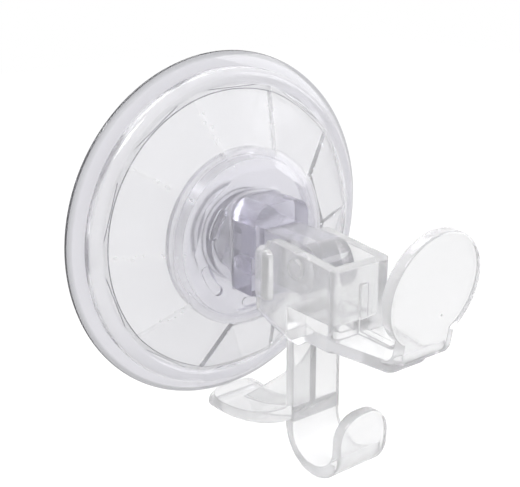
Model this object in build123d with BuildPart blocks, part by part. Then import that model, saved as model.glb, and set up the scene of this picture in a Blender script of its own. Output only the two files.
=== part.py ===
from build123d import *
from math import cos, sin, radians, tan
import os

os.makedirs("parts", exist_ok=True)

# Frame: the wall is the plane y = 0, the front is -Y, Z is up, and the suction rim is centred on the origin.

# Suction cup
cup_radius = 40.0
lip_width = 2.2
lip_thickness = 0.9
lip_edge = 0.35
cup_front_at_bead = 2.1
cup_dome = 2.8
cup_skin_at_hub = 5.3
cup_skin_bulge = 0.3
hub_radius = 10.6
hub_front = 9.0
hub_fillet = 1.2
soft_clearance = 0.3

# Pressure cap: bead, ten-sided cone and skirt
bead_outer = cup_radius - 3.3
bead_width = 3.7
bead_inner = bead_outer - bead_width
bead_back = cup_front_at_bead + soft_clearance
bead_crest = 5.2
facets = 10
cone_back_radius = bead_inner + 1.3
cone_back = 4.4
cone_front_radius = 20.3
cone_front = 12.0
plateau_radius = 16.4
plateau = 13.2
cap_wall = 2.2
skirt_outer = cone_front_radius - 0.7
skirt_wall = 2.0
skirt_back = 6.6

# Pressure cap: tower and plateau
tower_half_width = 7.0
tower_top = 10.7
tower_bottom = -9.6
tower_front = 22.1
tower_corner = 3.5
tower_low_corner = 1.2
tower_foot_radius = 1.0
lug_proud = 0.9
lug_back = 15.5
lug_front = tower_front - 0.5
lug_top = -0.4
lug_bottom = -8.8
lug_round = 2.0
recess_radius = 14.2
recess_angles = (30.0, 90.0, 150.0)
low_recess_radius = 11.8
low_recess_angles = (208.0, 332.0)
recess_width = 2.2
recess_depth = 0.8
recess_sweep = 24.0

# Stem
flange_radius = 8.0
flange_back = 4.5
flange_thickness = 2.0
shank_radius = 4.0
tongue_half_width = 4.6
tongue_top = 5.5
tongue_bottom = -4.7
tongue_back = 10.4
tongue_nose = 39.5
tongue_clearance = 0.2
pivot_to_nose = 4.7
pivot_front = tongue_nose - pivot_to_nose
pivot_height = 1.0
trunnion_radius = 2.0
trunnion_length = 1.5
pivot_clearance = 0.05

# Hook lever: box round the tongue
foot_gap = 0.7
wall_side_clearance = 0.6
wall = 2.4
nose_room = 5.3
box_inner = tongue_half_width + wall_side_clearance
box_outer = box_inner + wall
box_back = tower_front + foot_gap
box_front = tongue_nose + nose_room + wall
box_top_front = 3.6
box_top_back = 5.3
box_corner = 2.0
shoulder_run = 5.4
shoulder_drop = 0.4
foot_radius = 3.0
foot_front = box_back + foot_radius
foot_centre_x = box_inner + 1.2
foot_top = 3.2
foot_bottom = -8.0
foot_round = 1.5
wall_back_top = -6.0
wall_back_bottom = -11.2
floor_top = -8.0
floor_back = box_back + 3.4
floor_thickness = 2.4
heel_start = 4.5

# Hook lever: arm and thumb disc
arm_top = -10.3
arm_bottom = -13.0
arm_length = 13.1
arm_end = box_front + arm_length
arm_end_half_width = 5.0
arm_end_corner = 2.0
arm_end_round = 0.8
disc_reach = 18.72
disc_front = box_front + disc_reach
disc_height = 4.14
disc_lean = 7.3
disc_radius = 11.4
disc_thickness = 2.43
disc_foot_half_width = 6.3
disc_foot_top = -3.0
disc_foot_neck = -7.0
disc_foot_bottom = -9.4
disc_foot_corner = 1.5
disc_foot_run = 1.7
disc_edge_round = 0.4
rib_half_width = 1.0
rib_proud = 0.5
rib_top = 0.0
rib_short = 3.8

# Hook lever: strap, heel and the two hooks
strap_half_width = 6.6
strap_thickness = 2.5
edge_round = 0.5
strap_share = 0.3566
strap_back = box_back + strap_share * (box_front - box_back)
heel_bottom = -14.6
heel_back = strap_back + 2.3
heel_length = 3.2
front_hook_radius = 8.7
front_hook_height = -34.5
front_hook_tip = -27.2
tip_corner = 5.8
back_hook_root_top = -30.4
back_hook_root = -33.8
back_hook_sag = 1.5
back_hook_top_sag = 2.35
back_hook_bend = 7.5
back_hook_bottom = -cup_radius - 2.2
back_hook_thickness = 2.5
back_hook_end = 1.15
back_hook_tip = -cup_radius + 1.1
back_hook_curl = 4.6
back_tip_corner = 3.6
web_half_width = 0.75
web_top = -17.8


# Closed pocket round the stem's flange
pocket_neck = shank_radius + soft_clearance
pocket_radius = flange_radius + soft_clearance
pocket_front = flange_back + flange_thickness + soft_clearance
pocket_back = flange_back - soft_clearance
skin_start = bead_inner - 1.4
skin_middle = (cup_front_at_bead + cup_skin_at_hub) / 2 + cup_skin_bulge

with BuildPart() as suction_cup:
    with BuildSketch(Plane.XY):
        with BuildLine():
            ThreePointArc((0, -cup_dome), (cup_radius * 0.525, -cup_dome * 0.72), (cup_radius - lip_width, 0))
            Line((cup_radius - lip_width, 0), (cup_radius, 0))
            Line((cup_radius, 0), (cup_radius, -lip_thickness + lip_edge))
            Line((cup_radius, -lip_thickness + lip_edge), (cup_radius - lip_edge, -lip_thickness))
            Line((cup_radius - lip_edge, -lip_thickness), (bead_outer, -cup_front_at_bead + 0.15))
            Line((bead_outer, -cup_front_at_bead + 0.15), (skin_start, -cup_front_at_bead))
            ThreePointArc(
                (skin_start, -cup_front_at_bead),
                ((skin_start + hub_radius) / 2 + hub_fillet, -skin_middle),
                (hub_radius + hub_fillet, -cup_skin_at_hub),
            )
            ThreePointArc(
                (hub_radius + hub_fillet, -cup_skin_at_hub),
                (hub_radius + hub_fillet * 0.29, -cup_skin_at_hub - hub_fillet * 0.33),
                (hub_radius, -cup_skin_at_hub - hub_fillet),
            )
            Line((hub_radius, -cup_skin_at_hub - hub_fillet), (hub_radius - 0.3, -hub_front))
            Line((hub_radius - 0.3, -hub_front), (pocket_neck, -hub_front))
            Line((pocket_neck, -hub_front), (pocket_neck, -pocket_front))
            Line((pocket_neck, -pocket_front), (pocket_radius, -pocket_front))
            Line((pocket_radius, -pocket_front), (pocket_radius, -pocket_back))
            Line((pocket_radius, -pocket_back), (0, -pocket_back))
            Line((0, -pocket_back), (0, -cup_dome))
        make_face()
    revolve(axis=Axis.Y)
suction_cup.part.label = "suction_cup"
export_step(suction_cup.part, "parts/suction_cup.step")


# The cone wall is the same slope inside, set back by the wall's depth along the cup's axis
flat_factor = cos(radians(180 / facets))
cone_slope = (cone_front - cone_back) / ((cone_back_radius - cone_front_radius) * flat_factor)
cone_depth = cap_wall * (1 + cone_slope**2) ** 0.5
cone_run = (cone_back_radius - cone_front_radius) / (cone_front - cone_back)
hollow_back_radius = cone_back_radius - (bead_back - cone_back + cone_depth) * cone_run
hollow_front_radius = skirt_outer - 0.4
hollow_front = cone_front - cone_depth + (cone_front_radius - hollow_front_radius) / cone_run

with BuildPart() as pressure_cap:
    # Ten-sided cone with a second, flatter slope up to the plateau
    with BuildSketch(Plane.XZ.offset(cone_back)):
        RegularPolygon(cone_back_radius, facets)
    with BuildSketch(Plane.XZ.offset(cone_front)):
        RegularPolygon(cone_front_radius, facets)
    loft()
    with BuildSketch(Plane.XZ.offset(cone_front)):
        RegularPolygon(cone_front_radius, facets)
    with BuildSketch(Plane.XZ.offset(plateau)):
        RegularPolygon(plateau_radius, facets)
    loft()
    # Round bead that presses on the cup
    with BuildSketch(Plane.XY):
        with BuildLine():
            Line((0, -bead_back), (bead_outer - 0.4, -bead_back))
            Line((bead_outer - 0.4, -bead_back), (bead_outer, -bead_back - 0.4))
            Line((bead_outer, -bead_back - 0.4), (bead_outer, -bead_back - 1.1))
            ThreePointArc(
                (bead_outer, -bead_back - 1.1),
                ((bead_outer + bead_inner) / 2 + 0.15, -bead_crest),
                (bead_inner, -cone_back + 0.3),
            )
            Line((bead_inner, -cone_back + 0.3), (bead_inner - 1.0, -cone_back))
            Line((bead_inner - 1.0, -cone_back), (0, -cone_back))
            Line((0, -cone_back), (0, -bead_back))
        make_face()
    revolve(axis=Axis.Y)
    # Hollow behind the cone
    with BuildSketch(Plane.XZ.offset(bead_back)):
        RegularPolygon(hollow_back_radius, facets)
    with BuildSketch(Plane.XZ.offset(hollow_front)):
        RegularPolygon(hollow_front_radius, facets)
    loft(mode=Mode.SUBTRACT)
    # Round skirt inside the hollow
    with BuildSketch(Plane.XZ.offset(skirt_back)):
        Circle(skirt_outer)
        Circle(skirt_outer - skirt_wall, mode=Mode.SUBTRACT)
    extrude(amount=cone_front - skirt_back - 0.8)
    # Tower that the lever's feet bear on
    with BuildSketch(Plane.XZ.offset(plateau - 1.0)):
        with Locations((0, (tower_top + tower_bottom) / 2)):
            Rectangle(2 * tower_half_width, tower_top - tower_bottom)
        fillet(vertices().group_by(Axis.Y)[-1], tower_corner)
        fillet(vertices().group_by(Axis.Y)[0], tower_low_corner)
    extrude(amount=tower_front - plateau + 1.0)
    plateau_edges = edges().filter_by_position(Axis.Y, -plateau - 0.01, -plateau + 0.01)
    tower_foot = plateau_edges.filter_by(lambda e: e.distance_to(Vertex(0, -plateau, 0)) < tower_top + 0.1)
    fillet(tower_foot, tower_foot_radius)
    # Raised lug on each side of the tower
    for side in (-1, 1):
        with BuildSketch(Plane.YZ.offset(side * (tower_half_width - 1.0))):
            with BuildLine():
                Line((-lug_back, lug_bottom), (-lug_back, lug_top - lug_round))
                RadiusArc((-lug_back, lug_top - lug_round), (-lug_back - lug_round, lug_top), -lug_round)
                Line((-lug_back - lug_round, lug_top), (-lug_front, lug_top))
                Line((-lug_front, lug_top), (-lug_front, lug_bottom))
                Line((-lug_front, lug_bottom), (-lug_back, lug_bottom))
            make_face()
        extrude(amount=side * (1.0 + lug_proud))
    # Slot for the stem's tongue
    with BuildSketch(Plane.XZ.offset(hollow_front - 1.0)):
        with Locations((0, (tongue_top + tongue_bottom) / 2)):
            Rectangle(
                2 * (tongue_half_width + tongue_clearance),
                tongue_top - tongue_bottom + 2 * tongue_clearance,
            )
    extrude(amount=tower_front, mode=Mode.SUBTRACT)
    # Shallow kidney-shaped recesses in the plateau
    with BuildSketch(Plane.XZ.offset(plateau)):
        for middle in recess_angles:
            SlotArc(
                CenterArc((0, 0), recess_radius, middle - recess_sweep / 2, recess_sweep),
                recess_width,
            )
        for middle in low_recess_angles:
            SlotArc(
                CenterArc((0, 0), low_recess_radius, middle - recess_sweep / 2, recess_sweep),
                recess_width,
            )
    extrude(amount=-recess_depth, mode=Mode.SUBTRACT)
pressure_cap.part.label = "pressure_cap"
export_step(pressure_cap.part, "parts/pressure_cap.step")


nose_radius = (tongue_top - tongue_bottom) / 2
nose_centre = tongue_nose - nose_radius

with BuildPart() as stem:
    with BuildSketch(Plane.XZ.offset(flange_back)):
        Circle(flange_radius)
    extrude(amount=flange_thickness)
    with BuildSketch(Plane.XZ.offset(flange_back)):
        Circle(shank_radius)
    extrude(amount=tongue_back - flange_back + 1.0)
    with BuildSketch(Plane.YZ):
        with BuildLine():
            Line((-tongue_back, tongue_bottom), (-tongue_back, tongue_top))
            Line((-tongue_back, tongue_top), (-nose_centre, tongue_top))
            ThreePointArc(
                (-nose_centre, tongue_top),
                (-tongue_nose, (tongue_top + tongue_bottom) / 2),
                (-nose_centre, tongue_bottom),
            )
            Line((-nose_centre, tongue_bottom), (-tongue_back, tongue_bottom))
        make_face()
    extrude(amount=tongue_half_width, both=True)
    with BuildSketch(Plane.YZ):
        with Locations((-pivot_front, pivot_height)):
            Circle(trunnion_radius)
    extrude(amount=box_inner + trunnion_length, both=True)
stem.part.label = "stem"
export_step(stem.part, "parts/stem.step")


disc_plane = Plane(
    origin=(0, -disc_front, disc_height),
    x_dir=(1, 0, 0),
    z_dir=(0, -cos(radians(disc_lean)), -sin(radians(disc_lean))),
)
lean_run = tan(radians(disc_lean))
lean_depth = disc_thickness / cos(radians(disc_lean))
disc_foot_front = -disc_front + (disc_height - disc_foot_bottom) * lean_run
disc_top_front = -disc_front + (disc_height - disc_foot_top) * lean_run
disc_low_back = -disc_front + (disc_height - disc_foot_neck) * lean_run + lean_depth
hook_inner = front_hook_radius - strap_thickness
hook_centre = strap_back + front_hook_radius
strap_front = strap_back + strap_thickness
back_hook_run = strap_back + 1.0 - back_hook_bend
back_hook_middle = (back_hook_root + back_hook_bottom) / 2
back_hook_floor = back_hook_bottom + back_hook_thickness
back_hook_top_middle = (back_hook_root_top + back_hook_floor) / 2
web_reach = strap_back - back_hook_bend - 0.1
web_drop = web_top - back_hook_bottom - 1.7
web_upper = (-strap_back + 0.13 * web_reach, web_top - 0.21 * web_drop)
web_elbow = (-strap_back + 0.35 * web_reach, web_top - 0.46 * web_drop)
web_lower = (-strap_back + 0.65 * web_reach, web_top - 0.715 * web_drop)
web_end = (-strap_back + web_reach, web_top - web_drop)
web_heel = (-strap_back + 0.52 * web_reach, web_top - 0.93 * web_drop)
web_foot = (back_hook_root + back_hook_root_top) / 2
tip_plane = Plane(
    origin=(0, -back_hook_end - 0.4, back_hook_tip - 0.6),
    x_dir=(1, 0, 0),
    z_dir=(0, 1, -1),
)

with BuildPart() as hook_lever:
    # Box open at the top and the back
    with BuildSketch(Plane.XY.offset(heel_bottom)):
        with Locations((0, -(box_front + box_back) / 2)):
            outer = Rectangle(2 * box_outer, box_front - box_back)
        fillet(outer.vertices().group_by(Axis.Y)[0], box_corner)
    extrude(amount=box_top_back - heel_bottom)
    with BuildSketch(Plane.XY.offset(floor_top)):
        with Locations((0, -(box_front - wall + box_back - 1.0) / 2)):
            Rectangle(2 * box_inner, box_front - wall - box_back + 1.0)
    extrude(amount=box_top_back - floor_top, mode=Mode.SUBTRACT)
    # Walls run on behind and under the floor
    with BuildSketch(Plane.YZ):
        with BuildLine():
            Polyline(
                (-box_back + 1.0, floor_top + 1.0),
                (-floor_back, floor_top + 1.0),
                (-floor_back, floor_top - floor_thickness),
                (-strap_back, floor_top - floor_thickness),
                (-strap_back, heel_bottom - 1.0),
                (-box_back + 1.0, heel_bottom - 1.0),
                close=True,
            )
        make_face()
    extrude(amount=box_inner, both=True, mode=Mode.SUBTRACT)
    with BuildSketch(Plane.YZ):
        with BuildLine():
            Polyline(
                (-box_front - 1.0, box_top_front),
                (-box_back - shoulder_run, box_top_back),
                (-box_back - shoulder_run * 0.7, box_top_back - shoulder_drop),
                (-foot_front, foot_top + 0.2),
                (-box_back, wall_back_top),
                (-box_back, wall_back_bottom),
                (-box_back - heel_start, arm_bottom + 0.1),
                (-heel_back, heel_bottom),
                (-heel_back - heel_length, heel_bottom),
                (-heel_back - heel_length - 2.4, arm_bottom),
                (-box_front - 1.0, arm_bottom),
                close=True,
            )
        make_face()
    extrude(amount=box_outer + 1.0, both=True, mode=Mode.INTERSECT)
    # Floor of the box, running on as the arm and narrowing towards the disc
    with BuildSketch(Plane.XY.offset(arm_bottom)):
        with BuildLine():
            Polyline(
                (box_outer, -strap_back),
                (box_outer, -box_front + box_corner),
                (arm_end_half_width, -arm_end),
                (-arm_end_half_width, -arm_end),
                (-box_outer, -box_front + box_corner),
                (-box_outer, -strap_back),
                close=True,
            )
        floor = make_face()
        fillet(floor.vertices().group_by(Axis.Y)[0], arm_end_corner)
    extrude(amount=arm_top - arm_bottom)
    arm_edges = edges().filter_by_position(Axis.Z, arm_bottom - 0.01, arm_bottom + 0.01)
    fillet(arm_edges.filter_by(lambda e: e.center().Y < -box_front - 1.0), arm_end_round)
    # Broad foot under the disc, standing on the arm's end
    with BuildSketch(Plane.YZ):
        with BuildLine():
            Line((disc_foot_front, disc_foot_bottom), (disc_top_front, disc_foot_top))
            Line((disc_top_front, disc_foot_top), (disc_top_front + lean_depth, disc_foot_top))
            Line((disc_top_front + lean_depth, disc_foot_top), (disc_low_back, disc_foot_neck))
            ThreePointArc(
                (disc_low_back, disc_foot_neck),
                (-arm_end - 0.35 * disc_foot_run, arm_top + 0.6 * disc_foot_run),
                (-arm_end + disc_foot_run, arm_top),
            )
            Line((-arm_end + disc_foot_run, arm_top), (-arm_end + disc_foot_run / 2, arm_top - 0.8))
            Line((-arm_end + disc_foot_run / 2, arm_top - 0.8), (disc_foot_front, disc_foot_bottom))
        make_face()
    extrude(amount=disc_foot_half_width, both=True)
    foot_edges = edges().filter_by(lambda e: abs(e.center().X) > disc_foot_half_width - 0.1)
    foot_edges = foot_edges.filter_by(lambda e: e.center().Y < -arm_end and e.center().Z < disc_foot_bottom)
    fillet(foot_edges, disc_foot_corner)
    # Thumb disc
    with BuildSketch(disc_plane):
        Circle(disc_radius)
    extrude(amount=-disc_thickness)
    disc_rims = edges().filter_by(GeomType.CIRCLE).filter_by(lambda e: e.radius > disc_radius - 0.01)
    fillet(disc_rims, disc_edge_round)
    # Strap and front hook
    with BuildSketch(Plane.YZ):
        with BuildLine():
            Line((-strap_back, arm_top - 0.5), (-strap_back, front_hook_height))
            ThreePointArc(
                (-strap_back, front_hook_height),
                (-hook_centre, front_hook_height - front_hook_radius),
                (-hook_centre - front_hook_radius, front_hook_height),
            )
            Line(
                (-hook_centre - front_hook_radius, front_hook_height),
                (-hook_centre - front_hook_radius, front_hook_tip),
            )
            Line(
                (-hook_centre - front_hook_radius, front_hook_tip),
                (-hook_centre - hook_inner, front_hook_tip),
            )
            Line(
                (-hook_centre - hook_inner, front_hook_tip),
                (-hook_centre - hook_inner, front_hook_height),
            )
            ThreePointArc(
                (-hook_centre - hook_inner, front_hook_height),
                (-hook_centre, front_hook_height - hook_inner),
                (-strap_front, front_hook_height),
            )
            Line((-strap_front, front_hook_height), (-strap_front, arm_top - 0.5))
            Line((-strap_front, arm_top - 0.5), (-strap_back, arm_top - 0.5))
        make_face()
    extrude(amount=strap_half_width, both=True)
    cross_edges = edges().filter_by(Axis.Y)
    fillet(cross_edges.filter_by_position(Axis.Z, front_hook_tip - 0.01, front_hook_tip + 0.01), tip_corner)
    side_edges = edges().filter_by(lambda e: abs(e.center().X) > strap_half_width - 0.01)
    fillet(side_edges.filter_by(lambda e: e.center().Z < heel_bottom), edge_round)
    # Back hook
    with BuildSketch(Plane.YZ):
        with BuildLine():
            ThreePointArc(
                (-strap_back - 1.0, back_hook_root),
                (-back_hook_bend - 0.52 * back_hook_run, back_hook_middle - back_hook_sag),
                (-back_hook_bend, back_hook_bottom),
            )
            Line((-back_hook_bend, back_hook_bottom), (-back_hook_end - 2.1, back_hook_bottom - 0.1))
            ThreePointArc(
                (-back_hook_end - 2.1, back_hook_bottom - 0.1),
                (-back_hook_end - 0.6, back_hook_bottom + 0.45),
                (-back_hook_end, back_hook_bottom + 1.6),
            )
            Line((-back_hook_end, back_hook_bottom + 1.6), (-back_hook_end - 0.4, back_hook_tip - 0.6))
            ThreePointArc(
                (-back_hook_end - 0.4, back_hook_tip - 0.6),
                (-back_hook_end - 1.5, back_hook_tip),
                (-back_hook_end - 2.8, back_hook_tip - 0.35),
            )
            ThreePointArc(
                (-back_hook_end - 2.8, back_hook_tip - 0.35),
                (-back_hook_end - back_hook_curl, back_hook_floor + 0.1),
                (-back_hook_bend - 0.5, back_hook_floor),
            )
            ThreePointArc(
                (-back_hook_bend - 0.5, back_hook_floor),
                (-back_hook_bend - 0.46 * back_hook_run, back_hook_top_middle - back_hook_top_sag),
                (-strap_back - 1.0, back_hook_root_top),
            )
            Line((-strap_back - 1.0, back_hook_root_top), (-strap_back - 1.0, back_hook_root))
        make_face()
    extrude(amount=strap_half_width, both=True)
    # Round corners at the back hook's tip
    with BuildSketch(tip_plane):
        for side in (-1, 1):
            with Locations((side * strap_half_width, 0)):
                Rectangle(2 * back_tip_corner, 2 * back_tip_corner)
        for side in (-1, 1):
            with Locations((side * (strap_half_width - back_tip_corner), back_tip_corner)):
                Circle(back_tip_corner, mode=Mode.SUBTRACT)
    extrude(amount=5.0, both=True, mode=Mode.SUBTRACT)
    # Thin web that braces the back hook
    with BuildSketch(Plane.YZ):
        with BuildLine():
            Line((-strap_back - 1.0, web_foot), (-strap_back - 1.0, web_top))
            Line((-strap_back - 1.0, web_top), (-strap_back, web_top))
            ThreePointArc((-strap_back, web_top), web_upper, web_elbow)
            ThreePointArc(web_elbow, web_lower, web_end)
            Line(web_end, web_heel)
            Line(web_heel, (-strap_back - 1.0, web_foot))
        make_face()
    extrude(amount=web_half_width, both=True)
    # Feet on the walls' back ends, with the room for the tongue kept open
    for side in (-1, 1):
        with BuildSketch(Plane.XZ.offset(foot_front)):
            with Locations((side * (foot_centre_x + foot_radius / 2), (foot_top + foot_bottom) / 2)):
                column = Rectangle(foot_radius, foot_top - foot_bottom)
            across = column.vertices().sort_by(Axis.X)
            outside = across[-2:] if side > 0 else across[:2]
            fillet(outside, foot_round)
        revolve(axis=Axis((side * foot_centre_x, -foot_front, 0), (0, 0, 1)))
    with Locations((0, -foot_front, (foot_top + foot_bottom) / 2)):
        Box(2 * box_inner, 4 * foot_radius, 2 * (foot_top - foot_bottom), mode=Mode.SUBTRACT)
    # Rib down the front wall and along the arm
    with BuildSketch(Plane.YZ):
        with BuildLine():
            Polyline(
                (-box_front + 0.5, rib_top + 0.5),
                (-box_front - rib_proud, rib_top),
                (-box_front - rib_proud, arm_top + rib_proud + 0.3),
                (-arm_end + rib_short + rib_proud, arm_top + rib_proud),
                (-arm_end + rib_short, arm_top - 0.3),
                (-box_front + 0.5, arm_top - 0.3),
                close=True,
            )
        make_face()
    extrude(amount=rib_half_width, both=True)
    # Blind sockets for the trunnions
    with BuildSketch(Plane.YZ):
        with Locations((-pivot_front, pivot_height)):
            Circle(trunnion_radius + pivot_clearance)
    extrude(amount=box_inner + trunnion_length + 0.2, both=True, mode=Mode.SUBTRACT)
hook_lever.part.label = "hook_lever"
export_step(hook_lever.part, "parts/hook_lever.step")
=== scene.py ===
import bpy
import bmesh
from math import cos, pi, radians, sin
from mathutils import Matrix, Vector


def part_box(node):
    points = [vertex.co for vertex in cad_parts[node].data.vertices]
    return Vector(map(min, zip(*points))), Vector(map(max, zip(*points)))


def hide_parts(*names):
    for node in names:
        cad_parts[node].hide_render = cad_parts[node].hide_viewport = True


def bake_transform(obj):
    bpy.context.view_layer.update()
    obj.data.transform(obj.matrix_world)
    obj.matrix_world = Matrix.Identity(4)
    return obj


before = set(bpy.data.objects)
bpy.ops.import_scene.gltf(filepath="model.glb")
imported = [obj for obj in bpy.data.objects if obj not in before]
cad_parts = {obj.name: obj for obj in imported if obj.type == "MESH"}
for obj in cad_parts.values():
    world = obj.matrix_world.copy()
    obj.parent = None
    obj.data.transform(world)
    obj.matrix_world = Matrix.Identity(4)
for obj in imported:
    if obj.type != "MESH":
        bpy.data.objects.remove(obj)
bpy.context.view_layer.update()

bl_info = {
    "name": "Suction cup hook",
    "version": (1, 0, 0),
    "blender": (4, 5, 0),
    "location": "View3D > Sidebar > Cup hook",
    "description": "Dresses the lever-lock cup hook in clear plastic and sets up its studio",
    "category": "Object",
}

MM = 0.001
CUP_LOW, CUP_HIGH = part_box("suction_cup")

# Finish of each plastic: brightness of its surface, scale and height of its waves, its roughness
# where it is glossiest and where it is dullest, share of light let through, rounding of its edges
FINISHES = {
    "soft_clear_vinyl": {
        "white": 0.955, "wave_scale": 60.0, "wave_height": 0.04 * MM,
        "gloss": 0.04, "dull": 0.12, "clear": 0.92, "rounding": 0.0},
    "cap_clear_plastic": {
        "white": 0.995, "wave_scale": 70.0, "wave_height": 0.03 * MM,
        "gloss": 0.10, "dull": 0.20, "clear": 0.88, "rounding": 0.2 * MM},
    "stem_clear_plastic": {
        "white": 0.95, "wave_scale": 110.0, "wave_height": 0.02 * MM,
        "gloss": 0.08, "dull": 0.20, "clear": 0.80, "rounding": 0.5 * MM},
    "lever_clear_plastic": {
        "white": 0.94, "wave_scale": 95.0, "wave_height": 0.03 * MM,
        "gloss": 0.10, "dull": 0.22, "clear": 0.78, "rounding": 0.5 * MM},
}
BLUER = 1.005
EDGE_SAMPLES = 6

# Painted shade in bands round the cup's axis, as the radii where each begins and where it is full,
# with its tone: a grey flange by the lip, a dark line along the rim's edge, and a darker, more
# lavender plateau inside the cap's ring
LIP_SHADE_BAND, LIP_SHADE_TONE = {"Start": 33.0 * MM, "End": 35.5 * MM}, (0.765, 0.76, 0.795)
EDGE_SHADE_BAND, EDGE_SHADE_TONE = {"Start": 38.5 * MM, "End": 39.2 * MM}, (0.56, 0.56, 0.58)
RING_SHADE_BAND, RING_SHADE_TONE = {"Start": 19.5 * MM, "End": 17.5 * MM}, (0.955, 0.95, 0.985)

# Tone of the other marks, and how much rougher they are than the surface round them: the creases'
# white is a painted highlight, the tower's tone is painted shade, and the gate's dot is the
# mould's real mark
CREASE_HIGHLIGHT_TONE, CREASE_DULL = (1.0, 1.0, 1.0), 0.12
TOWER_SHADE_TONE = (0.93, 0.92, 0.985)
GATE_TONE, GATE_DULL = (0.45, 0.45, 0.47), 0.5

# The soft cup: flat part of its rim, rounding of its lip, its pocket for the stem's flange and the
# pocket's mouth, and the radius at which its section is swept before it is set round the axis
FLAT_RIM = 2.2 * MM
LIP_ROUNDING = 0.3 * MM
POCKET_RADIUS, POCKET_BACK, POCKET_FRONT = 8.3 * MM, 4.2 * MM, 6.8 * MM
MOUTH_RADIUS = 4.3 * MM
SWEEP_RADIUS = 20.0 * MM
MERGE = 0.01 * MM

# Studio
FLOOR_HALF, FLOOR_HEIGHT = 3.0, -0.42
FLOOR_GREY, FLOOR_GLOW = 0.25, 0.81
WHITE = (1.0, 1.0, 1.0, 1.0)
BRIGHT_SIDE = (0.57, 0.76, -0.31)
DIM_TONE, SIDE_TONE = (0.80, 0.80, 0.81, 1.0), (0.81, 0.81, 0.825, 1.0)
SIDE_STOP, WHITE_STOP = 0.5, 0.78
LIGHT_AIM = (0.0, -0.02, 0.0)
LIGHTS = (
    ("key_light", (-0.55, -0.45, 0.75), (0.55, 0.35), 6.6),
    ("fill_light", (0.85, -0.60, 0.35), (0.6, 0.6), 3.6),
    ("top_light", (0.0, 0.25, 1.0), (0.8, 0.5), 5.6),
)
CLEAR_BOUNCES, GLOSSY_BOUNCES = 32, 8

# Camera: its angles in degrees, its place across, up and back from the cup in millimetres, and the
# focal length and width of the photograph's frame in pixels
CAMERA_TURN, CAMERA_TIP, CAMERA_ROLL = -37.20, 18.41, -0.22
CAMERA_ACROSS, CAMERA_UP, CAMERA_BACK = 8.6, -4.0, 220.6
FOCAL_PIXELS, FRAME_PIXELS = 958.3, 520.0
SENSOR_WIDTH = 36.0
CLIP_START, CLIP_END = 0.01, 20.0


class CupSizes(bpy.types.PropertyGroup):
    """Sizes of the soft cup, of the painted highlight along the cap's creases and of the gate mark
    on the lever
    """

    rim_radius: bpy.props.FloatProperty(
        name="Rim radius", description="Radius of the cup's soft rim",
        default=CUP_HIGH.x, min=0.02, unit="LENGTH", precision=4)
    hub_front: bpy.props.FloatProperty(
        name="Hub front", description="How far the cup's hub stands forward of the wall",
        default=-CUP_LOW.y, min=0.004, unit="LENGTH", precision=4)
    lip_thickness: bpy.props.FloatProperty(
        name="Lip thickness", description="Thickness of the soft rim at its edge",
        default=0.9 * MM, min=0.0003, unit="LENGTH", precision=4)
    dome_depth: bpy.props.FloatProperty(
        name="Dome depth", description="Depth of the vacuum dome behind the cup",
        default=2.8 * MM, min=0.0005, unit="LENGTH", precision=4)
    round_steps: bpy.props.IntProperty(
        name="Steps round", description="Steps round the cup", default=192, min=48)
    # Half width of the painted highlight along the cap's facet creases
    crease_highlight_width: bpy.props.FloatProperty(
        name="Crease width",
        description="Half width of the soft line along the cap's facet creases",
        default=1.0 * MM, min=0.0001, unit="LENGTH", precision=5)
    gate_radius: bpy.props.FloatProperty(
        name="Gate mark radius", description="Radius of the gate's witness dot on the thumb disc",
        default=0.45 * MM, min=0.0001, unit="LENGTH", precision=5)
    gate_place: bpy.props.FloatVectorProperty(
        name="Gate mark place", description="Centre of the gate's witness dot on the thumb disc",
        default=(2.42 * MM, -65.24 * MM, -1.21 * MM), size=3, subtype="TRANSLATION", precision=5)


class PlasticLook(bpy.types.PropertyGroup):
    """Tints and refraction of the clear plastics"""

    hard_tint: bpy.props.FloatVectorProperty(
        name="Hard plastic tint", description="Tint that thick hard plastic takes",
        subtype="COLOR", size=3, min=0.0, max=1.0, default=(0.74, 0.73, 0.79))
    soft_tint: bpy.props.FloatVectorProperty(
        name="Soft plastic tint", description="Tint that thick soft plastic takes",
        subtype="COLOR", size=3, min=0.0, max=1.0, default=(0.74, 0.74, 0.76))
    cap_density: bpy.props.FloatProperty(
        name="Cap density", description="How strongly the pressure cap tints, per metre",
        default=85.0, min=0.0)
    stem_density: bpy.props.FloatProperty(
        name="Stem density", description="How strongly the stem tints, per metre",
        default=45.0, min=0.0)
    lever_density: bpy.props.FloatProperty(
        name="Lever density", description="How strongly the hook lever tints, per metre",
        default=6.0, min=0.0)
    soft_density: bpy.props.FloatProperty(
        name="Soft plastic density", description="How strongly the soft plastic tints, per metre",
        default=130.0, min=0.0)
    hard_ior: bpy.props.FloatProperty(
        name="Hard plastic IOR", description="Index of refraction of the hard plastic",
        default=1.49, min=1.0, max=2.0)
    soft_ior: bpy.props.FloatProperty(
        name="Soft plastic IOR", description="Index of refraction of the soft plastic",
        default=1.45, min=1.0, max=2.0)


def sizes():
    """The sizes set in the sidebar"""
    return bpy.context.scene.cup_sizes


def look():
    """The tints set in the sidebar"""
    return bpy.context.scene.plastic_look


# Shader groups


def group(name, inputs, outputs):
    """Starts a shader group with named inputs, each with its default, and named outputs"""
    tree = bpy.data.node_groups.new(name, "ShaderNodeTree")
    for label, kind, value in inputs:
        socket = tree.interface.new_socket(label, in_out="INPUT", socket_type=kind)
        if value is not None:
            socket.default_value = value
    for label, kind in outputs:
        tree.interface.new_socket(label, in_out="OUTPUT", socket_type=kind)
    return tree, tree.nodes.new("NodeGroupInput"), tree.nodes.new("NodeGroupOutput")


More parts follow.
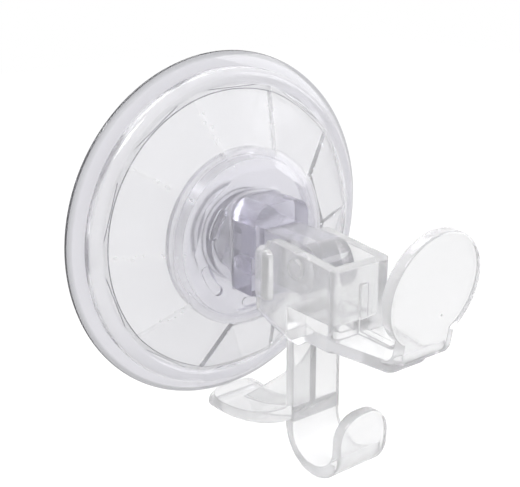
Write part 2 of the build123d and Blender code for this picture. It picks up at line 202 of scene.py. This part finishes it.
def calc(tree, operation, first, second):
    """Adds a math node on two sockets or numbers and returns its result"""
    node = tree.nodes.new("ShaderNodeMath")
    node.operation = operation
    for socket, value in zip(node.inputs, (first, second)):
        if isinstance(value, (int, float)):
            socket.default_value = value
        else:
            tree.links.new(value, socket)
    return node.outputs["Value"]


def fade(tree):
    """Adds a soft step from one, at zero, down to nothing"""
    node = tree.nodes.new("ShaderNodeMapRange")
    node.interpolation_type = "SMOOTHSTEP"
    node.inputs["To Min"].default_value = 1.0
    node.inputs["To Max"].default_value = 0.0
    return node


def axis_radius(tree, where):
    """Adds nodes that give a point's distance from the cup's axis, which is Y"""
    flat = tree.nodes.new("ShaderNodeVectorMath")
    flat.operation = "MULTIPLY"
    flat.inputs[1].default_value = (1.0, 0.0, 1.0)
    away = tree.nodes.new("ShaderNodeVectorMath")
    away.operation = "LENGTH"
    tree.links.new(where, flat.inputs[0])
    tree.links.new(flat.outputs["Vector"], away.inputs[0])
    return away.outputs["Value"]


def moulding_group():
    """Slow waves left by the mould's flow, with a fine polish haze"""
    if "Moulded surface" in bpy.data.node_groups:
        return bpy.data.node_groups["Moulded surface"]
    tree, given, out = group(
        "Moulded surface",
        [("Wave scale", "NodeSocketFloat", 90.0), ("Haze scale", "NodeSocketFloat", 900.0),
         ("Gloss", "NodeSocketFloat", 0.02), ("Dull", "NodeSocketFloat", 0.08)],
        [("Height", "NodeSocketFloat"), ("Roughness", "NodeSocketFloat")])
    where = tree.nodes.new("ShaderNodeTexCoord")
    wave = tree.nodes.new("ShaderNodeTexNoise")
    wave.inputs["Detail"].default_value = 1.0
    tree.links.new(where.outputs["Object"], wave.inputs["Vector"])
    tree.links.new(given.outputs["Wave scale"], wave.inputs["Scale"])
    haze = tree.nodes.new("ShaderNodeTexNoise")
    haze.inputs["Detail"].default_value = 2.0
    tree.links.new(where.outputs["Object"], haze.inputs["Vector"])
    tree.links.new(given.outputs["Haze scale"], haze.inputs["Scale"])
    spread = tree.nodes.new("ShaderNodeMapRange")
    spread.inputs["From Min"].default_value = 0.45
    spread.inputs["From Max"].default_value = 0.75
    tree.links.new(haze.outputs["Fac"], spread.inputs["Value"])
    tree.links.new(given.outputs["Gloss"], spread.inputs["To Min"])
    tree.links.new(given.outputs["Dull"], spread.inputs["To Max"])
    tree.links.new(wave.outputs["Fac"], out.inputs["Height"])
    tree.links.new(spread.outputs["Result"], out.inputs["Roughness"])
    return tree


def gate_group():
    """Mask of the small dot that a mould's gate leaves"""
    tree, given, out = group(
        "Gate mark",
        [("Place", "NodeSocketVector", None), ("Radius", "NodeSocketFloat", 0.5 * MM)],
        [("Mask", "NodeSocketFloat")])
    where = tree.nodes.new("ShaderNodeTexCoord")
    away = tree.nodes.new("ShaderNodeVectorMath")
    away.operation = "DISTANCE"
    tree.links.new(where.outputs["Object"], away.inputs[0])
    tree.links.new(given.outputs["Place"], away.inputs[1])
    dot = fade(tree)
    tree.links.new(away.outputs["Value"], dot.inputs["Value"])
    tree.links.new(given.outputs["Radius"], dot.inputs["From Max"])
    tree.links.new(dot.outputs["Result"], out.inputs["Mask"])
    return tree


def crease_highlight_group():
    """Mask of the painted highlight lines where the facets round the cup's axis meet, between two
    radii
    """
    tree, given, out = group(
        "Facet crease highlights",
        [("Facets", "NodeSocketFloat", 10.0), ("Half width", "NodeSocketFloat", 1.0 * MM),
         ("Start", "NodeSocketFloat", 18.0 * MM), ("End", "NodeSocketFloat", 33.0 * MM)],
        [("Mask", "NodeSocketFloat")])
    where = tree.nodes.new("ShaderNodeTexCoord")
    split = tree.nodes.new("ShaderNodeSeparateXYZ")
    tree.links.new(where.outputs["Object"], split.inputs["Vector"])
    turn = calc(tree, "ARCTAN2", split.outputs["Z"], split.outputs["X"])
    share = calc(tree, "DIVIDE", 2 * pi, given.outputs["Facets"])
    place = calc(tree, "DIVIDE", turn, share)
    off = calc(tree, "MULTIPLY", calc(tree, "PINGPONG", place, 0.5), share)
    radius = axis_radius(tree, where.outputs["Object"])
    line = fade(tree)
    tree.links.new(calc(tree, "MULTIPLY", off, radius), line.inputs["Value"])
    tree.links.new(given.outputs["Half width"], line.inputs["From Max"])
    past = calc(tree, "GREATER_THAN", radius, given.outputs["Start"])
    short = calc(tree, "LESS_THAN", radius, given.outputs["End"])
    reach = calc(tree, "MULTIPLY", past, short)
    mask = calc(tree, "MULTIPLY", line.outputs["Result"], reach)
    tree.links.new(mask, out.inputs["Mask"])
    return tree


def shade_band_group():
    """Mask of painted shade round the cup's axis, that grows from the start radius and is full at
    the end radius
    """
    if "Shade band round the axis" in bpy.data.node_groups:
        return bpy.data.node_groups["Shade band round the axis"]
    tree, given, out = group(
        "Shade band round the axis",
        [("Start", "NodeSocketFloat", 33.0 * MM), ("End", "NodeSocketFloat", 37.0 * MM)],
        [("Mask", "NodeSocketFloat")])
    where = tree.nodes.new("ShaderNodeTexCoord")
    band = tree.nodes.new("ShaderNodeMapRange")
    band.interpolation_type = "SMOOTHSTEP"
    tree.links.new(axis_radius(tree, where.outputs["Object"]), band.inputs["Value"])
    tree.links.new(given.outputs["Start"], band.inputs["From Min"])
    tree.links.new(given.outputs["End"], band.inputs["From Max"])
    tree.links.new(band.outputs["Result"], out.inputs["Mask"])
    return tree


def tower_shade_group():
    """Mask of the thick tower on the cap, in front of a depth, where painted shade darkens it"""
    tree, given, out = group(
        "Tower shade", [("Start", "NodeSocketFloat", 14.5 * MM)], [("Mask", "NodeSocketFloat")])
    where = tree.nodes.new("ShaderNodeTexCoord")
    split = tree.nodes.new("ShaderNodeSeparateXYZ")
    tree.links.new(where.outputs["Object"], split.inputs["Vector"])
    depth = calc(tree, "MULTIPLY", split.outputs["Y"], -1.0)
    mask = calc(tree, "GREATER_THAN", depth, given.outputs["Start"])
    tree.links.new(mask, out.inputs["Mask"])
    return tree


# Materials


def clear_plastic(name, tint, density, ior):
    """Clear moulded plastic that tints where it is thick, with edges that look rounded"""
    finish = FINISHES[name]
    white = finish["white"]
    mat = bpy.data.materials.new(name)
    mat.use_nodes = True
    nodes, links = mat.node_tree.nodes, mat.node_tree.links
    nodes.clear()
    out = nodes.new("ShaderNodeOutputMaterial")
    shade = nodes.new("ShaderNodeBsdfPrincipled")
    shade.inputs["Base Color"].default_value = (white, white, white * BLUER, 1.0)
    shade.inputs["Transmission Weight"].default_value = finish["clear"]
    shade.inputs["IOR"].default_value = ior
    surface = nodes.new("ShaderNodeGroup")
    surface.node_tree = moulding_group()
    surface.inputs["Wave scale"].default_value = finish["wave_scale"]
    surface.inputs["Gloss"].default_value = finish["gloss"]
    surface.inputs["Dull"].default_value = finish["dull"]
    bump = nodes.new("ShaderNodeBump")
    bump.inputs["Distance"].default_value = finish["wave_height"]
    bump.inputs["Strength"].default_value = 1.0
    if finish["rounding"] > 0.0:
        rounded = nodes.new("ShaderNodeBevel")
        rounded.samples = EDGE_SAMPLES
        rounded.inputs["Radius"].default_value = finish["rounding"]
        links.new(rounded.outputs["Normal"], bump.inputs["Normal"])
    links.new(surface.outputs["Height"], bump.inputs["Height"])
    links.new(bump.outputs["Normal"], shade.inputs["Normal"])
    links.new(surface.outputs["Roughness"], shade.inputs["Roughness"])
    thick = nodes.new("ShaderNodeVolumeAbsorption")
    thick.inputs["Color"].default_value = (*tint, 1.0)
    thick.inputs["Density"].default_value = density
    links.new(shade.outputs["BSDF"], out.inputs["Surface"])
    links.new(thick.outputs["Volume"], out.inputs["Volume"])
    return mat


def accent(mat, tree, values, tone, dull=0.0):
    """Colours a plastic where a group's mask says, over earlier accents, and dulls it there; it
    lays painted shade, painted highlights and the gate's real dot
    """
    nodes, links = mat.node_tree.nodes, mat.node_tree.links
    shade = nodes["Principled BSDF"]
    where = nodes.new("ShaderNodeGroup")
    where.node_tree = tree
    for name, value in values.items():
        where.inputs[name].default_value = value
    mask = where.outputs["Mask"]
    colour = nodes.new("ShaderNodeMix")
    colour.data_type = "RGBA"
    before = shade.inputs["Base Color"]
    colour.inputs["A"].default_value = before.default_value
    colour.inputs["B"].default_value = (*tone, 1.0)
    if before.is_linked:
        links.new(before.links[0].from_socket, colour.inputs["A"])
    links.new(mask, colour.inputs["Factor"])
    links.new(colour.outputs["Result"], before)
    if dull > 0.0:
        rough = shade.inputs["Roughness"].links[0].from_socket
        more = calc(mat.node_tree, "MULTIPLY", mask, dull)
        links.new(calc(mat.node_tree, "ADD", rough, more), shade.inputs["Roughness"])


def dress(node, mat):
    """Gives all slots of a CAD node one material"""
    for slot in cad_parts[node].material_slots:
        slot.material = mat


# Geometry node helpers


def geometry_tree(name, inputs):
    """Starts a geometry tree with named inputs and returns their identifiers with it"""
    tree = bpy.data.node_groups.new(name, "GeometryNodeTree")
    sockets = tree.interface
    sockets.new_socket("Geometry", in_out="INPUT", socket_type="NodeSocketGeometry")
    ids = {}
    for label, kind in inputs:
        ids[label] = sockets.new_socket(label, in_out="INPUT", socket_type=kind).identifier
    sockets.new_socket("Geometry", in_out="OUTPUT", socket_type="NodeSocketGeometry")
    return tree, ids, tree.nodes.new("NodeGroupInput"), tree.nodes.new("NodeGroupOutput")


def finish_tree(tree, geometry, out, mat):
    """Ends a tree in realized instances with the material set"""
    real = tree.nodes.new("GeometryNodeRealizeInstances")
    paint = tree.nodes.new("GeometryNodeSetMaterial")
    paint.inputs["Material"].default_value = mat
    tree.links.new(geometry, real.inputs["Geometry"])
    tree.links.new(real.outputs["Geometry"], paint.inputs["Geometry"])
    tree.links.new(paint.outputs["Geometry"], out.inputs["Geometry"])


def grow(name, source, tree, values):
    """Runs a tree on a mesh and returns the result as a plain mesh object"""
    host = bpy.data.objects.new(name + "_host", source)
    bpy.context.scene.collection.objects.link(host)
    mod = host.modifiers.new("Grow", "NODES")
    mod.node_group = tree
    for key, value in values.items():
        mod[key] = value
    graph = bpy.context.evaluated_depsgraph_get()
    mesh = bpy.data.meshes.new_from_object(host.evaluated_get(graph), depsgraph=graph)
    mesh.name = name
    host.modifiers.remove(mod)
    bpy.data.objects.remove(host)
    obj = bpy.data.objects.new(name, mesh)
    bpy.context.scene.collection.objects.link(obj)
    return obj


def tidy_mesh(obj):
    """Merges doubles, turns the faces outwards and shades them smooth"""
    work = bmesh.new()
    work.from_mesh(obj.data)
    bmesh.ops.remove_doubles(work, verts=work.verts, dist=MERGE)
    bmesh.ops.dissolve_degenerate(work, edges=work.edges, dist=MERGE)
    bmesh.ops.recalc_face_normals(work, faces=work.faces)
    work.to_mesh(obj.data)
    work.free()
    for face in obj.data.polygons:
        face.use_smooth = True


# Soft cup


def arc(start, middle, end, steps):
    """Points of the circle arc through three points, without its start"""
    (ax, ay), (bx, by), (cx, cy) = start, middle, end
    d = 2 * (ax * (by - cy) + bx * (cy - ay) + cx * (ay - by))
    a2, b2, c2 = ax * ax + ay * ay, bx * bx + by * by, cx * cx + cy * cy
    ux = (a2 * (by - cy) + b2 * (cy - ay) + c2 * (ay - by)) / d
    uy = (a2 * (cx - bx) + b2 * (ax - cx) + c2 * (bx - ax)) / d
    centre = Vector((ux, uy))
    first, last, mid = Vector(start) - centre, Vector(end) - centre, Vector(middle) - centre
    whole = first.angle_signed(last)
    part = first.angle_signed(mid)
    if abs(part) > abs(whole) or part * whole < 0:
        whole -= 2 * pi * (1 if whole > 0 else -1)
    turns = [Matrix.Rotation(-whole * step / steps, 2) for step in range(1, steps + 1)]
    return [tuple(turn @ first + centre) for turn in turns]


def cup_outline(s):
    """Half section of the soft cup, as (radius, depth in front of the wall), in metres"""
    rim, hub, lip, dome = s.rim_radius, s.hub_front, s.lip_thickness, s.dome_depth
    pts = [(0.0, dome)]
    # Vacuum dome, then the flat rim on the wall
    pts += arc(pts[-1], (21.0 * MM, dome * 0.72), (rim - FLAT_RIM, 0.0), 26)
    pts += [(rim - LIP_ROUNDING, 0.0)]
    # Round edge of the lip, and its slope up to the seat of the cap's skirt
    pts += arc(pts[-1], (rim, lip * 0.45), (rim - LIP_ROUNDING, lip), 7)
    pts += arc(pts[-1], (rim - 1.6 * MM, lip + 0.62 * MM), (36.7 * MM, 1.95 * MM), 6)
    pts += [(31.6 * MM, 2.1 * MM)]
    # Hollow cone under the cap, the fillet at its foot and the hub's side
    pts += arc(pts[-1], (22.3 * MM, 4.0 * MM), (11.8 * MM, 5.3 * MM), 20)
    pts += arc(pts[-1], (10.95 * MM, 5.7 * MM), (10.6 * MM, 6.5 * MM), 5)
    pts += [(10.35 * MM, hub - 0.4 * MM)]
    pts += arc(pts[-1], (10.2 * MM, hub - 0.1 * MM), (9.9 * MM, hub), 4)
    # Mouth of the hub and the closed pocket for the stem's flange
    pts += [(MOUTH_RADIUS, hub), (MOUTH_RADIUS, POCKET_FRONT)]
    pts += [(POCKET_RADIUS, POCKET_FRONT), (POCKET_RADIUS, POCKET_BACK), (0.0, POCKET_BACK)]
    return pts


def soft_cup_tree(mat):
    """Sweeps a half section, drawn as a mesh line, round a ring"""
    tree, ids, given, out = geometry_tree(
        "Turned round the axis",
        [("Steps", "NodeSocketInt"), ("Ring radius", "NodeSocketFloat")])
    ring = tree.nodes.new("GeometryNodeCurvePrimitiveCircle")
    tree.links.new(given.outputs["Steps"], ring.inputs["Resolution"])
    tree.links.new(given.outputs["Ring radius"], ring.inputs["Radius"])
    line = tree.nodes.new("GeometryNodeMeshToCurve")
    tree.links.new(given.outputs["Geometry"], line.inputs["Mesh"])
    sweep = tree.nodes.new("GeometryNodeCurveToMesh")
    tree.links.new(ring.outputs["Curve"], sweep.inputs["Curve"])
    tree.links.new(line.outputs["Curve"], sweep.inputs["Profile Curve"])
    finish_tree(tree, sweep.outputs["Mesh"], out, mat)
    return tree, ids


class CUPHOOK_OT_soft_cup(bpy.types.Operator):
    """Makes the soft suction cup, with its thin lip, vacuum dome and hub"""

    bl_idname = "cuphook.soft_cup"
    bl_label = "Soft cup"

    def execute(self, context):
        s, c = sizes(), look()
        mat = clear_plastic("soft_clear_vinyl", c.soft_tint, c.soft_density, c.soft_ior)
        # Painted shade: a grey band over the flange by the lip, and a dark line along the rim's
        # outer edge
        accent(mat, shade_band_group(), LIP_SHADE_BAND, LIP_SHADE_TONE)
        accent(mat, shade_band_group(), EDGE_SHADE_BAND, EDGE_SHADE_TONE)
        section = bpy.data.meshes.new("cup_section")
        verts = [(radius - SWEEP_RADIUS, depth, 0.0) for radius, depth in cup_outline(s)]
        section.from_pydata(verts, [(i, (i + 1) % len(verts)) for i in range(len(verts))], [])
        tree, ids = soft_cup_tree(mat)
        cup = grow("soft_cup", section, tree,
                   {ids["Steps"]: s.round_steps, ids["Ring radius"]: SWEEP_RADIUS})
        # The ring lies in the XY plane: its axis becomes the cup's, with the depth to the front
        for v in cup.data.vertices:
            v.co = Vector((v.co.x, -abs(v.co.z), v.co.y))
        tidy_mesh(cup)
        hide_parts("suction_cup")
        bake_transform(cup)
        return {"FINISHED"}


class CUPHOOK_OT_hard_parts(bpy.types.Operator):
    """Gives the pressure cap, the stem and the hook lever their clear hard plastic"""

    bl_idname = "cuphook.hard_parts"
    bl_label = "Hard parts"

    def execute(self, context):
        s, c = sizes(), look()
        cap = clear_plastic("cap_clear_plastic", c.hard_tint, c.cap_density, c.hard_ior)
        # Painted highlight: soft white lines along the cap's facet creases, a little rougher there
        accent(cap, crease_highlight_group(), {"Half width": s.crease_highlight_width}, CREASE_HIGHLIGHT_TONE, CREASE_DULL)
        # Painted shade: the plateau inside the cap's ring a little darker and more lavender
        accent(cap, shade_band_group(), RING_SHADE_BAND, RING_SHADE_TONE)
        # Painted shade: the thick tower a little darker and more lavender
        accent(cap, tower_shade_group(), {}, TOWER_SHADE_TONE)
        dress("pressure_cap", cap)
        stem = clear_plastic("stem_clear_plastic", c.hard_tint, c.stem_density, c.hard_ior)
        dress("stem", stem)
        lever = clear_plastic("lever_clear_plastic", c.hard_tint, c.lever_density, c.hard_ior)
        dot = {"Place": s.gate_place, "Radius": s.gate_radius}
        accent(lever, gate_group(), dot, GATE_TONE, GATE_DULL)
        dress("hook_lever", lever)
        return {"FINISHED"}


# Studio


def backdrop_material():
    """White floor that lights clear plastic evenly and keeps the object's shadow"""
    mat = bpy.data.materials.new("studio_floor")
    mat.use_nodes = True
    nodes, links = mat.node_tree.nodes, mat.node_tree.links
    nodes.clear()
    out = nodes.new("ShaderNodeOutputMaterial")
    lit = nodes.new("ShaderNodeBsdfDiffuse")
    lit.inputs["Color"].default_value = (FLOOR_GREY, FLOOR_GREY, FLOOR_GREY, 1.0)
    glow = nodes.new("ShaderNodeEmission")
    glow.inputs["Color"].default_value = WHITE
    glow.inputs["Strength"].default_value = FLOOR_GLOW
    both = nodes.new("ShaderNodeAddShader")
    rays = nodes.new("ShaderNodeLightPath").outputs
    seen = calc(mat.node_tree, "MAXIMUM", rays["Is Camera Ray"], rays["Is Glossy Ray"])
    seen = calc(mat.node_tree, "MAXIMUM", seen, rays["Is Transmission Ray"])
    mix = nodes.new("ShaderNodeMixShader")
    links.new(lit.outputs["BSDF"], both.inputs[0])
    links.new(glow.outputs["Emission"], both.inputs[1])
    links.new(seen, mix.inputs["Fac"])
    links.new(lit.outputs["BSDF"], mix.inputs[1])
    links.new(both.outputs["Shader"], mix.inputs[2])
    links.new(mix.outputs["Shader"], out.inputs["Surface"])
    return mat


def studio_world():
    """White room, brightest behind the object, that greys to the front so that clear edges show"""
    world = bpy.data.worlds.new("studio_room")
    bpy.context.scene.world = world
    world.use_nodes = True
    nodes, links = world.node_tree.nodes, world.node_tree.links
    nodes.clear()
    out = nodes.new("ShaderNodeOutputWorld")
    where = nodes.new("ShaderNodeTexCoord")
    facing = nodes.new("ShaderNodeVectorMath")
    facing.operation = "DOT_PRODUCT"
    facing.inputs[1].default_value = BRIGHT_SIDE
    level = nodes.new("ShaderNodeMapRange")
    level.inputs["From Min"].default_value = -1.0
    level.inputs["From Max"].default_value = 1.0
    ramp = nodes.new("ShaderNodeValToRGB")
    stops = ramp.color_ramp.elements
    stops[0].position = 0.0
    stops[0].color = DIM_TONE
    stops[1].position = WHITE_STOP
    stops[1].color = WHITE
    stops.new(SIDE_STOP).color = SIDE_TONE
    room = nodes.new("ShaderNodeBackground")
    white = nodes.new("ShaderNodeBackground")
    white.inputs["Color"].default_value = WHITE
    rays = nodes.new("ShaderNodeLightPath")
    mix = nodes.new("ShaderNodeMixShader")
    links.new(where.outputs["Generated"], facing.inputs[0])
    links.new(facing.outputs["Value"], level.inputs["Value"])
    links.new(level.outputs["Result"], ramp.inputs["Fac"])
    links.new(ramp.outputs["Color"], room.inputs["Color"])
    links.new(rays.outputs["Is Camera Ray"], mix.inputs["Fac"])
    links.new(room.outputs["Background"], mix.inputs[1])
    links.new(white.outputs["Background"], mix.inputs[2])
    links.new(mix.outputs["Shader"], out.inputs["Surface"])


def soft_box(name, place, size, power):
    """Adds a soft rectangular lamp that faces the object"""
    light = bpy.data.lights.new(name, "AREA")
    light.shape = "RECTANGLE"
    light.size, light.size_y = size
    light.energy = power
    obj = bpy.data.objects.new(name, light)
    bpy.context.scene.collection.objects.link(obj)
    obj.location = place
    obj.rotation_mode = "QUATERNION"
    obj.rotation_quaternion = (Vector(LIGHT_AIM) - Vector(place)).to_track_quat("-Z", "Y")


def add_floor():
    """Adds the plain floor far below the object"""
    mesh = bpy.data.meshes.new("floor")
    corners = ((-1, -1), (1, -1), (1, 1), (-1, 1))
    verts = [(x * FLOOR_HALF, y * FLOOR_HALF, FLOOR_HEIGHT) for x, y in corners]
    mesh.from_pydata(verts, [], [(0, 1, 2, 3)])
    floor = bpy.data.objects.new("floor", mesh)
    bpy.context.scene.collection.objects.link(floor)
    mesh.materials.append(backdrop_material())


def add_camera():
    """Adds the camera at the photograph's viewing angle"""
    turn, tip, roll = radians(CAMERA_TURN), radians(CAMERA_TIP), radians(CAMERA_ROLL)
    back = Vector((sin(turn) * cos(tip), -cos(turn) * cos(tip), sin(tip)))
    right = Vector((cos(turn), sin(turn), 0.0))
    up = back.cross(right)
    across = cos(roll) * right + sin(roll) * up
    rise = -sin(roll) * right + cos(roll) * up
    lens = bpy.data.cameras.new("camera")
    lens.sensor_width = SENSOR_WIDTH
    lens.lens = SENSOR_WIDTH * FOCAL_PIXELS / FRAME_PIXELS
    lens.clip_start, lens.clip_end = CLIP_START, CLIP_END
    camera = bpy.data.objects.new("camera", lens)
    bpy.context.scene.collection.objects.link(camera)
    place = (CAMERA_ACROSS * across + CAMERA_UP * rise + CAMERA_BACK * back) * MM
    turned = Matrix((across, rise, back)).transposed().to_4x4()
    camera.matrix_world = Matrix.Translation(place) @ turned
    bpy.context.scene.camera = camera


class CUPHOOK_OT_stage(bpy.types.Operator):
    """Sets up the floor, the soft lights, the plain room and the camera"""

    bl_idname = "cuphook.stage"
    bl_label = "Stage"

    def execute(self, context):
        add_floor()
        studio_world()
        for name, place, size, power in LIGHTS:
            soft_box(name, place, size, power)
        add_camera()
        scene = context.scene
        scene.view_settings.view_transform = "Standard"
        scene.cycles.max_bounces = CLEAR_BOUNCES
        scene.cycles.transmission_bounces = CLEAR_BOUNCES
        scene.cycles.glossy_bounces = GLOSSY_BOUNCES
        return {"FINISHED"}


class CUPHOOK_PT_panel(bpy.types.Panel):
    """Lists the pieces of the cup hook and their sizes"""

    bl_label = "Suction cup hook"
    bl_idname = "CUPHOOK_PT_panel"
    bl_space_type = "VIEW_3D"
    bl_region_type = "UI"
    bl_category = "Cup hook"

    def draw(self, context):
        for owner in (context.scene.cup_sizes, context.scene.plastic_look):
            box = self.layout.box()
            for name in owner.__annotations__:
                box.prop(owner, name)
        for step in STEPS:
            self.layout.operator(step.bl_idname)


STEPS = (CUPHOOK_OT_soft_cup, CUPHOOK_OT_hard_parts, CUPHOOK_OT_stage)
CLASSES = (CupSizes, PlasticLook, *STEPS, CUPHOOK_PT_panel)


def register():
    """Registers the classes and puts the settings on the scene"""
    for cls in CLASSES:
        bpy.utils.register_class(cls)
    bpy.types.Scene.cup_sizes = bpy.props.PointerProperty(type=CupSizes)
    bpy.types.Scene.plastic_look = bpy.props.PointerProperty(type=PlasticLook)


def unregister():
    """Takes the settings and the classes away again"""
    del bpy.types.Scene.plastic_look
    del bpy.types.Scene.cup_sizes
    for cls in reversed(CLASSES):
        bpy.utils.unregister_class(cls)


def main():
    """Makes every piece and the stage"""
    register()
    bpy.ops.cuphook.soft_cup()
    bpy.ops.cuphook.hard_parts()
    bpy.ops.cuphook.stage()


if __name__ == "__main__":
    main()
